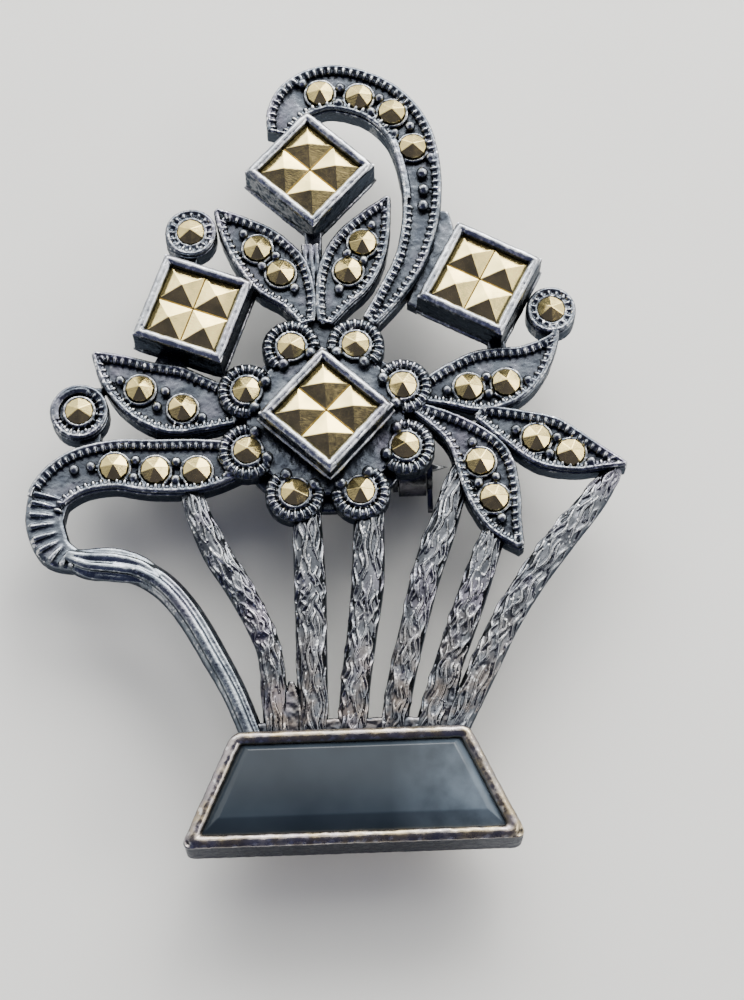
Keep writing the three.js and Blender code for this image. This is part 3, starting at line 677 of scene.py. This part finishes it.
def strand_path(line, turn, reach, lift, gather=0.0):
    """A ridge along the face of a limb, turn being part of a full turn, gathered in at both ends."""
    middle = smooth_line(line)
    path = []
    for i, point in enumerate(middle):
        along = middle[min(i + 1, len(middle) - 1)].xy - middle[max(i - 1, 0)].xy
        across = Vector((-along.y, along.x)).normalized()
        spread = 1 - gather * (1 - math.sin(math.pi * i / (len(middle) - 1)))
        place = point.xy + across * point.z * reach * spread * math.cos(2 * math.pi * turn)
        path.append(Vector((place.x, place.y, BAR_LEVEL + point.z * lift * math.sin(2 * math.pi * turn))))
    return path


def limb_wire(line, share=0.9):
    """A round bar along a limb, nearly as thick as the limb is wide."""
    middle = smooth_line(line)
    widths = [point.z for point in middle]
    return wire([point.xy for point in middle], share, BAR_LEVEL, roundness=9, radii=widths)


stones = [stone_place(f"scroll_stone_{i + 1}") for i in range(SCROLL_STONES)]
parts = [slab(limb_outline(SCROLL_LINE), 0, LEAF_FLOOR)]
for side, milled in SCROLL_EDGES:
    parts.append(rim(limb_side(SCROLL_LINE, side, RIM_RADIUS, last=SCROLL_RIM_END), closed=False))
    parts += milled_edge(limb_side(SCROLL_LINE, side, MILGRAIN_INSET, last=milled))
parts += [stone_collar(stone, LEAF_FLOOR + COLLAR_LIFT) for stone in stones]
places = grain_places(stones)[:-2] + GRAINS_BY_FLOWER + GRAINS_BY_BEND
parts += grains(places, LEAF_FLOOR + GRAIN_LIFT)

parts.append(slab(limb_outline(BEND_LINE), 0, BEND_FLOOR, ease=0.25))
outer = limb_side(BEND_LINE, -1, 0.12)
inner = limb_side(BEND_LINE, 1, 0.3)
for i in range(1, len(outer) - 1, GROOVE_STEP):
    ridge = [(*outer[i].lerp(inner[i], share), BEND_FLOOR + lift) for share, lift, _ in BEND_RIDGE]
    parts.append(wire(ridge, BEND_RIDGE_RADIUS, radii=[factor for _, _, factor in BEND_RIDGE]))
casting("cast_scroll", parts, voxel=SCROLL_VOXEL, soften=3, unevenness=0.02)

parts = grains([BALL_PLACE], BALL_LEVEL, BALL_RADIUS)
parts.append(limb_wire(STRAP_LINE, share=0.84))
first_turn, span = STRAND_TURNS
for i in range(STRANDS):
    path = strand_path(STRAP_LINE, first_turn + span * i / (STRANDS - 1), 0.82, 0.8, gather=0.6)
    parts.append(wire(path, STRAND_RADIUS, roundness=3))
parts.append(limb_wire(PLAIN_STEM_LINE))
for turn, radius in PLAIN_RIDGES:
    parts.append(wire(strand_path(PLAIN_STEM_LINE, turn, 0.8, 0.84), radius, roundness=4))
stem_silver = make_silver("stem_silver", dull=(0.13, 0.15, 0.18, 1), grey=(0.40, 0.44, 0.48, 1),
                          wear=(0.5, 0.52, 0.54, 1))
casting("cast_scroll_stem", parts, material=stem_silver, voxel=SCROLL_VOXEL, soften=8, unevenness=0.02)

# --- Bark stems --------------------------------------------------------------------------------
# Six stems cast with the leaves and rubbed down to the cup. Their faces have a raised net of bark,
# drawn out along the stem, and their backs are flat.

STEM_LINES = [
    [(-7.3, -0.6, 0.6), (-6, -4, 0.8), (-4.6, -6.45, 0.8), (-3.6, -8.5, 0.76), (-3, -10.5, 0.72),
     (-2.75, -14.9, 0.76)],
    [(-0.95, -1.2, 0.8), (-0.85, -6, 0.92), (-0.85, -9, 0.9), (-0.9, -14.9, 0.86)],
    [(2.45, -1.2, 0.85), (2.25, -6, 0.95), (1.85, -9, 0.87), (1.4, -11.9, 0.85), (1.1, -14.9, 0.85)],
    [(7.6, 0.2, 0.6), (6.3, -3.4, 0.85), (5.35, -6, 0.85), (4.55, -8.9, 0.78), (3.75, -12, 0.78),
     (3.2, -14.9, 0.76)],
    [(9.2, -3.4, 0.7), (7.9, -6.8, 0.85), (6.95, -9.3, 0.85), (6, -11.8, 0.8), (4.95, -14.9, 0.8)],
    [(15.9, -0.25, 0.45), (14.6, -2, 0.75), (12.7, -4.2, 0.85), (10.9, -6.5, 0.85), (9.4, -8.8, 0.85),
     (8.2, -11.1, 0.85), (6.3, -14.9, 0.75)],
]
BARK_ROWS = 8
BARK_EDGE = 0.13  # the part of the half turn on either side that stays smooth
BARK_RIDGE = 0.11
BARK_LENGTHS = (1.0, 3.2)
BARK_GAPS = (0.1, 0.7)
BARK_WAVES = (1.0, 2.4)
BARK_WANDER = 0.2
STEM_COLLARS = {1: (-0.93, -2.0), 2: (2.42, -2.0)}  # a raised line across each stem under a petal
STEM_FOOT_LINES = [
    [(-4.2, -14.4, 0.5), (-1, -14.4, 0.6), (2.5, -14.4, 0.6), (6.4, -14.4, 0.5)],
    [(-1.95, -11.7, 0.14), (-1.95, -13, 0.5), (-1.85, -14.8, 0.6)],
    [(7.05, -10.5, 0.08), (6.4, -12.4, 0.35), (5.7, -14.8, 0.5)],
]  # the low webs that join the stems where they meet the cup
STEM_FOOT_FACE = 1.15
STEM_MIDDLE = 0.6
STEM_HEIGHT = 1.12  # of a stem over its middle, for a half width of one
STEM_SHARE = 0.93  # of a stem's half width that its bar fills
RIDGE_SHARE = 0.94  # of a stem's half width where the middles of the ridges lie
STEM_VOXEL = 0.05


def wires(paths, radius):
    """Many thin wires at once, each tapering to both ends."""
    curve = bench_curve(paths[0])
    curve.data.splines.clear()
    for path in paths:
        spline = curve.data.splines.new("POLY")
        spline.points.add(len(path) - 1)
        for i, (point, place) in enumerate(zip(spline.points, path)):
            point.co = (*(place * MM), 1)
            point.radius = 0.35 + 0.65 * math.sin(math.pi * i / (len(path) - 1))
    curve.data.dimensions = "3D"
    curve.data.bevel_depth = radius * MM
    curve.data.bevel_resolution = 1
    curve.data.use_fill_caps = True
    return as_mesh(curve, "wires")


def stem_surface(line, share, turn):
    """A point on a stem's rounded face: share of its length, and turn from 0 on one side to pi."""
    middle = smooth_line(line)
    place = share * (len(middle) - 1)
    i = min(int(place), len(middle) - 2)
    point = middle[i].lerp(middle[i + 1], place - i)
    along = (middle[i + 1] - middle[i]).xy
    reach = point.z * RIDGE_SHARE
    across = Vector((-along.y, along.x)).normalized() * reach * math.cos(turn)
    height = STEM_MIDDLE + STEM_HEIGHT * reach * math.sin(turn)
    return Vector((point.x + across.x, point.y + across.y, height))


def bark_paths(line, chance):
    """Wavy broken ridges that run along a stem and lean into each other."""
    middle = smooth_line(line)
    length = sum((b.xy - a.xy).length for a, b in zip(middle, middle[1:]))
    paths = []
    for row in range(BARK_ROWS):
        at = chance.uniform(0, 1)
        while at < length - 0.4:
            end = min(at + chance.uniform(*BARK_LENGTHS), length)
            start_turn = math.pi * (BARK_EDGE + (1 - 2 * BARK_EDGE) * (row + 0.5) / BARK_ROWS)
            lean = chance.uniform(-1, 1)
            phase = chance.uniform(0, 6.3)
            wave = chance.uniform(*BARK_WAVES)
            steps = max(int((end - at) / 0.16), 3)
            path = []
            for i in range(steps + 1):
                along = at + (end - at) * i / steps
                sway = lean * (i / steps - 0.5) + 0.6 * math.sin(phase + along * 2 * math.pi / wave)
                path.append(stem_surface(line, along / length, start_turn + BARK_WANDER * sway))
            paths.append(path)
            at = end + chance.uniform(*BARK_GAPS)
    return paths


def flatten_back(piece):
    """Cuts away everything below the bench, and closes the cut."""
    deselect()
    piece.select_set(True)
    bpy.context.view_layer.objects.active = piece
    bpy.ops.object.mode_set(mode="EDIT")
    bpy.ops.mesh.select_all(action="SELECT")
    bpy.ops.mesh.bisect(plane_co=(0, 0, 0), plane_no=(0, 0, 1), use_fill=True, clear_inner=True)
    bpy.ops.object.mode_set(mode="OBJECT")


def bark_stem(line, chance, collar=None):
    """A bar with bark on its face, and a raised line across it where a collar is given."""
    middle = smooth_line(line)
    widths = [point.z for point in middle]
    bar = wire([point.xy for point in middle], STEM_SHARE, roundness=6, radii=widths)
    lift = Matrix.Translation((0, 0, STEM_MIDDLE * MM))
    bar.data.transform(lift @ Matrix.Diagonal((1, 1, STEM_HEIGHT, 1)))
    parts = [bar, wires(bark_paths(line, chance), BARK_RIDGE)]
    if collar:
        left = Vector(collar) - Vector((0.5, 0.05))
        right = Vector(collar) + Vector((0.5, 0.05))
        parts.append(wire([(*left, 1.35), (*left.lerp(right, 0.5), 1.62), (*right, 1.35)], 0.09))
    stem = join("stem", parts)
    cast(stem, voxel=STEM_VOXEL, soften=1, unevenness=0.015)
    flatten_back(stem)
    return stem


# Brown tarnish gathers toward the cup. The worn edges are also painted duller toward the bottom, a painted
# shade.
bark_silver = make_silver("bark_silver", dull=(0.07, 0.076, 0.088, 1), grey=(0.19, 0.2, 0.22, 1),
                          brown=(0.20, 0.16, 0.13, 1), brown_and_shade_below=(-8, -15), bump_depth=0.012,
                          bump_stretch=(1, 1, 0.35))
bark_chance = random.Random(7)
for i, line in enumerate(STEM_LINES):
    piece = bark_stem(line, bark_chance, STEM_COLLARS.get(i))
    piece.name = f"cast_stem_{i + 2}"
    stand_up(piece)
    finish_piece(piece, bark_silver, "oxidised_silver", "brooch", "openwork_frame")

parts = [slab(limb_outline(line), 0, STEM_FOOT_FACE, ease=0.2) for line in STEM_FOOT_LINES]
casting("cast_stem_foot", parts, material=bark_silver, unevenness=0.12)

# --- Webs behind ---------------------------------------------------------------------------------
# Low bars and the round plate of the casting that tie the leaves, settings and rings together.
# They lie behind everything else, dark with oxide.

WEB_LINES = [
    [(0, 6.5, 1.6), (-0.05, 9, 0.9), (-0.1, 11, 0.45), (-0.15, 14.6, 0.5)],
    [(-7.1, 13.6, 0.55), (-7.3, 11.6, 0.55)],
    [(-8.6, 5.6, 0.8), (-7.8, 7.6, 0.8)],
    [(9.9, 6, 0.5), (9.7, 8, 0.5)],
    [(-12.3, 5.3, 0.5), (-12.4, 3.8, 0.5), (-12.6, 1, 0.6)],
    [(7.2, 15.4, 0.3), (7, 14.2, 0.75), (6.5, 12.4, 0.85), (5.8, 10.6, 0.6), (5.2, 9.6, 0.3)],
]
WEB_FACE = 1.0
PLATE_CENTRE = (0.25, 2.75)
PLATE_RADIUS = 5.0
PLATE_FACE = 0.6
VEIN_LINE = [(-0.02, 9, 0.4), (-0.2, 11, 0.4), (-0.35, 13.4, 0.3)]  # between the two upper leaves
VEIN_WIRES = (-0.32, 0.02, 0.36)
VEIN_RADIUS = 0.17
VEIN_LEVEL = 1.25

parts = [slab(limb_outline(line), 0, WEB_FACE) for line in WEB_LINES]
parts.append(slab(circle(PLATE_CENTRE, PLATE_RADIUS, 48), 0, PLATE_FACE))
for aside in VEIN_WIRES:
    path = [(x + aside, y) for x, y, _ in smooth_line(VEIN_LINE)]
    parts.append(wire(path, VEIN_RADIUS, VEIN_LEVEL))
casting("cast_webs", parts, voxel=0.07)

# --- Flower --------------------------------------------------------------------------------------
# The eight-petalled flower, a separate casting riveted over the plate. Every petal is a shallow dish
# with a notched rim, a round stone and two grains, and the square centre setting stands on it.

FLOWER_CENTRE = Vector(PLATE_CENTRE)
FLOWER_RADIUS = 4.3
FLOWER_BACK = 0.62
FLOWER_FACE = 1.9
FLOWER_FLOOR = 1.5
PETALS = 8
PETAL_RING = 4.6
PETAL_RADIUS = 1.6
NOTCHES_TURN = 232
NOTCH_LENGTH = 0.33
NOTCH_PITCH = 0.36
NOTCH_SEAT_RADIUS = 0.26
PETAL_RIM_RADIUS = 0.13
PETAL_RIM_INSET = 0.12
PETAL_GRAIN_RING = 1.14
PETAL_GRAIN_RADIUS = 0.35

parts = [slab(circle(FLOWER_CENTRE, FLOWER_RADIUS, 64), FLOWER_BACK, FLOWER_FLOOR)]
for i in range(PETALS):
    outward = (i + 0.5) * 360 / PETALS
    middle = circle(FLOWER_CENTRE, PETAL_RING, 1, start=outward)[0]
    stone = stone_place(f"petal_stone_{i + 1}")
    parts.append(slab(circle(middle, PETAL_RADIUS), FLOWER_BACK, FLOWER_FLOOR))
    start = outward - NOTCHES_TURN / 2
    edge = circle(middle, PETAL_RADIUS - PETAL_RIM_INSET, start=start, turn=NOTCHES_TURN)
    parts.append(wire(edge, PETAL_RIM_RADIUS, FLOWER_FACE - 0.32))
    notched = circle(middle, PETAL_RADIUS - NOTCH_LENGTH, start=start, turn=NOTCHES_TURN)
    parts.append(wire(notched, NOTCH_SEAT_RADIUS, FLOWER_FLOOR + 0.1))
    parts.append(milgrain(notched, FLOWER_FACE - 0.17, False, NOTCH_LENGTH, NOTCH_PITCH, fullness=0.36))
    parts.append(stone_collar(stone, FLOWER_FLOOR + RING_COLLAR_LIFT, RING_COLLAR_RADIUS))
    places = circle(stone, PETAL_GRAIN_RING, 2, start=outward + 135, turn=90)
    parts += grains(places, FLOWER_FLOOR + 0.3, PETAL_GRAIN_RADIUS)
casting("cast_flower", parts, "flower_plate", voxel=0.06)

# --- Square settings -----------------------------------------------------------------------------
# Four boxes of folded silver strip, soldered on the leaves and the flower. Their rims were rubbed
# over the stones and are uneven, with small marks of the burnisher.

SETTINGS = ("top", "left", "right", "centre")
SETTING_RIM_INSET = 0.28
SETTING_RIM_RADIUS = 0.29
SETTING_RIM_SINK = 0.2  # how far the box's own rim is pushed down inside the rounded one
FOOT_WIRE_RADIUS = 0.16


def solid_copy(node, name):
    """A copy of a CAD part with its corners joined and its flat faces whole."""
    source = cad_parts[node]
    piece = bpy.data.objects.new(name, source.data.copy())
    bpy.context.collection.objects.link(piece)
    piece.data.transform(source.matrix_world)
    deselect()
    piece.select_set(True)
    bpy.context.view_layer.objects.active = piece
    bpy.ops.object.mode_set(mode="EDIT")
    bpy.ops.mesh.select_all(action="SELECT")
    bpy.ops.mesh.remove_doubles(threshold=0.002 * MM)
    bpy.ops.mesh.dissolve_limited(angle_limit=math.radians(1))
    bpy.ops.object.mode_set(mode="OBJECT")
    return piece


def face_corners(piece, level):
    """The corners of a part that lie furthest from the middle at a level, in order, in mm."""
    points = [v.co / MM for v in piece.data.vertices if abs(-v.co.y / MM - level) < 0.01]
    middle = sum(points, Vector()) / len(points)
    far = max((p - middle).length for p in points)
    outer = [Vector((p.x, p.z + PIN_LINE)) for p in points if (p - middle).length > far - 0.05]
    middle = Vector((middle.x, middle.z + PIN_LINE))
    return sorted(outer, key=lambda p: math.atan2(p.y - middle.y, p.x - middle.x)), middle


def square_path(corners, middle, inset, per_side=12):
    """Points along the sides of a square, moved in from its corners."""
    half = (corners[0] - middle).length / math.sqrt(2)
    inner = [middle + (corner - middle) * (1 - inset / half) for corner in corners]
    sides = zip(inner, inner[1:] + inner[:1])
    return [a.lerp(b, i / per_side) for a, b in sides for i in range(per_side)]


rubbed_silver = make_silver("rubbed_silver", dull=(0.30, 0.32, 0.36, 1), grey=(0.66, 0.67, 0.70, 1),
                            bump_depth=0.02)
for setting in SETTINGS:
    node = setting + "_setting"
    piece = solid_copy(node, "box")
    low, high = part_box(node)
    rim_level = -low.y / MM
    back_level = -high.y / MM
    corners, middle = face_corners(piece, rim_level)
    for vertex in piece.data.vertices:
        if abs(-vertex.co.y / MM - rim_level) < 0.01:
            vertex.co.y += SETTING_RIM_SINK * MM
    rounded = square_path(corners, middle, SETTING_RIM_INSET)
    rounded = wire(rounded, SETTING_RIM_RADIUS, rim_level - SETTING_RIM_RADIUS, closed=True, roundness=3)
    foot = wire(square_path(corners, middle, 0.02), FOOT_WIRE_RADIUS, back_level + 0.3, closed=True)
    trim = join("trim", [rounded, foot])
    stand_up(trim)
    piece = join("rubbed_" + node, [piece, trim])
    cast(piece, voxel=0.055, soften=3, unevenness=0.05)
    finish_piece(piece, rubbed_silver, "oxidised_silver", "brooch", node)

# --- Onyx cup ------------------------------------------------------------------------------------
# The base of the bouquet: a cup of folded silver strip with a rubbed-over rim, soldered below the
# stems. Its tarnish is browner than the casting's.

CUP_MIDDLE_X = 1.05
CUP_TOP, CUP_FOOT = -14.65, -20.65
CUP_TOP_HALF, CUP_FOOT_HALF = 6.1, 8.85
CUP_CORNER = 0.7
CUP_RIM_LEVEL = 2.4
CUP_RIM_WIDTH = 0.7
CUP_FOOT_INSET = 0.16
CUP_FOOT_RADIUS = 0.18


def rounded_outline(corners, radius, steps=5):
    """An outline with its corners rounded, inside the sharp one."""
    path = []
    for i, corner in enumerate(corners):
        before = (corners[i - 1] - corner).normalized()
        after = (corners[(i + 1) % len(corners)] - corner).normalized()
        reach = radius / math.tan(before.angle(after) / 2)
        start, end = corner + before * reach, corner + after * reach
        for j in range(steps + 1):
            t = j / steps
            path.append((1 - t) ** 2 * start + 2 * t * (1 - t) * corner + t**2 * end)
    return path


def cup_outline(inset):
    slope = (CUP_FOOT_HALF - CUP_TOP_HALF) / (CUP_TOP - CUP_FOOT)
    spread = inset * math.sqrt(1 + slope**2)
    top, foot = CUP_TOP - inset, CUP_FOOT + inset
    top_half = CUP_TOP_HALF + slope * inset - spread
    foot_half = CUP_FOOT_HALF - slope * inset - spread
    corners = [(top_half, top), (-top_half, top), (-foot_half, foot), (foot_half, foot)]
    return rounded_outline([Vector((CUP_MIDDLE_X + x, z)) for x, z in corners], max(CUP_CORNER - inset, 0.2))


piece = solid_copy("onyx_cup", "cup")
for vertex in piece.data.vertices:
    if abs(-vertex.co.y / MM - CUP_RIM_LEVEL) < 0.1:
        vertex.co.y += CUP_RIM_WIDTH / 2 * MM
rounded = cup_outline(CUP_RIM_WIDTH / 2)
rounded = wire(rounded, CUP_RIM_WIDTH / 2, CUP_RIM_LEVEL - CUP_RIM_WIDTH / 2, closed=True, roundness=4)
foot = wire(cup_outline(CUP_FOOT_INSET), CUP_FOOT_RADIUS, -0.1, closed=True)
trim = join("trim", [rounded, foot])
stand_up(trim)
piece = join("onyx_cup_rubbed", [piece, trim])
cast(piece, voxel=0.08, soften=4, unevenness=0.06)
# Brown tarnish as on the stems. The worn edges are also painted duller toward the bottom, a painted shade.
cup_silver = make_silver("cup_silver", dull=(0.27, 0.25, 0.25, 1), grey=(0.46, 0.42, 0.40, 1),
                          sides=(0.17, 0.172, 0.185, 1), hollows=(0.26, 0.23, 0.18, 1),
                          brown=(0.40, 0.32, 0.18, 1), brown_and_shade_below=(-11, -16), bump_depth=0.015)
finish_piece(piece, cup_silver, "oxidised_silver", "brooch", "onyx_cup")

# --- Onyx ----------------------------------------------------------------------------------------
# A slab of black onyx with a bevel-cut face, polished, held in the cup by its rim. Its right end is
# painted lighter in clouds, a painted sheen of the light on the polished stone.

ONYX_EASE = 0.07 * MM
SHEEN_FROM_TO = (3.0 * MM, 8.5 * MM)

onyx, nodes, shader = new_material("black_onyx")
clouds = ramp(onyx, noise(onyx, 4.0, 3), 0.35, 0.7)
depth = mix_colour(onyx, clouds, (0.018, 0.025, 0.034, 1), (0.028, 0.038, 0.050, 1))
# Painted sheen: the right end is painted lighter, in clouds, standing in for light on the polished stone.
painted_sheen = ramp(onyx, along_axis(onyx, "X"), *SHEEN_FROM_TO)
painted_sheen = multiply(onyx, painted_sheen, ramp(onyx, noise(onyx, 2.2, 6), 0.30, 0.62))
link(onyx, mix_colour(onyx, painted_sheen, depth, (0.13, 0.165, 0.205, 1)), shader.inputs["Base Color"])
shader.inputs["Specular IOR Level"].default_value = 0.34
link(onyx, ramp(onyx, noise(onyx, 0.7, 5), 0.3, 0.7, 0.12, 0.2), shader.inputs["Roughness"])

piece = solid_copy("onyx_stone", "polished_onyx")
change(piece, "BEVEL", width=ONYX_EASE, segments=3, limit_method="ANGLE", angle_limit=math.radians(15))
finish_piece(piece, onyx, "onyx", "brooch", "onyx_stone", smooth_under=35)

# --- Marcasites ----------------------------------------------------------------------------------
# Cut pyrite stones: square pyramids in the four boxes and round six-faceted ones everywhere else.
# Their edges are softly worn, so that each ridge catches the light.

EDGE_WEAR = 0.022 * MM

pyrite, nodes, shader = new_material("cut_pyrite")
patches = ramp(pyrite, noise(pyrite, 1.1, 3), 0.35, 0.68)
tone = mix_colour(pyrite, patches, (0.58, 0.47, 0.20, 1), (0.90, 0.70, 0.28, 1))
link(pyrite, tone, shader.inputs["Base Color"])
shader.inputs["Metallic"].default_value = 0.96
link(pyrite, ramp(pyrite, noise(pyrite, 0.25, 6), 0.3, 0.7, 0.11, 0.22), shader.inputs["Roughness"])
scratches = nodes.new("ShaderNodeBump")
scratches.inputs["Distance"].default_value = 0.006 * MM
link(pyrite, noise(pyrite, 0.2, 5, stretch=(1, 1, 3)), scratches.inputs["Height"])
link(pyrite, scratches.outputs["Normal"], shader.inputs["Normal"])

for node in sorted(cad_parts):
    if "_stone" in node and node != "onyx_stone":
        piece = solid_copy(node, "cut_" + node)
        change(piece, "BEVEL", width=EDGE_WEAR, segments=1, limit_method="ANGLE",
               angle_limit=math.radians(12))
        finish_piece(piece, pyrite, "marcasite", "brooch", node, smooth_under=10)

# --- Pin and catch -------------------------------------------------------------------------------
# The fastening soldered to the back: a bracket with a rivet, a hard wire pin that swings on it, and
# a cradle with a turning sleeve that locks the point. All edges are lightly eased.

PIN_PARTS = {
    "hinge_bracket": ("brooch", 0.06),
    "hinge_rivet": ("brooch", 0.05),
    "catch_cradle": ("brooch", 0.06),
    "catch_sleeve": ("catch", 0.05),
    "pin_stem": ("pin", 0.03),
}

# Painted shade: the pin wire is painted darker and the bracket, cradle and sleeve near black, standing in
# for the shade they lie in behind the flower.
pin_wire = make_silver("pin_wire", dull=(0.05, 0.056, 0.068, 1), grey=(0.15, 0.16, 0.18, 1), rubbed=False)
shade_dark_silver = make_silver("shade_dark_silver", dull=(0.012, 0.014, 0.018, 1), grey=(0.035, 0.04, 0.05, 1),
                          rubbed=False)
for node, (body, ease) in PIN_PARTS.items():
    piece = solid_copy(node, "eased_" + node)
    change(piece, "BEVEL", width=ease * MM, segments=3, limit_method="ANGLE", angle_limit=math.radians(35))
    if node in ("pin_stem", "hinge_rivet"):
        finish_piece(piece, pin_wire, "pin_wire", body, node, smooth_under=35)
    else:
        finish_piece(piece, shade_dark_silver, "oxidised_silver", body, node, smooth_under=35)
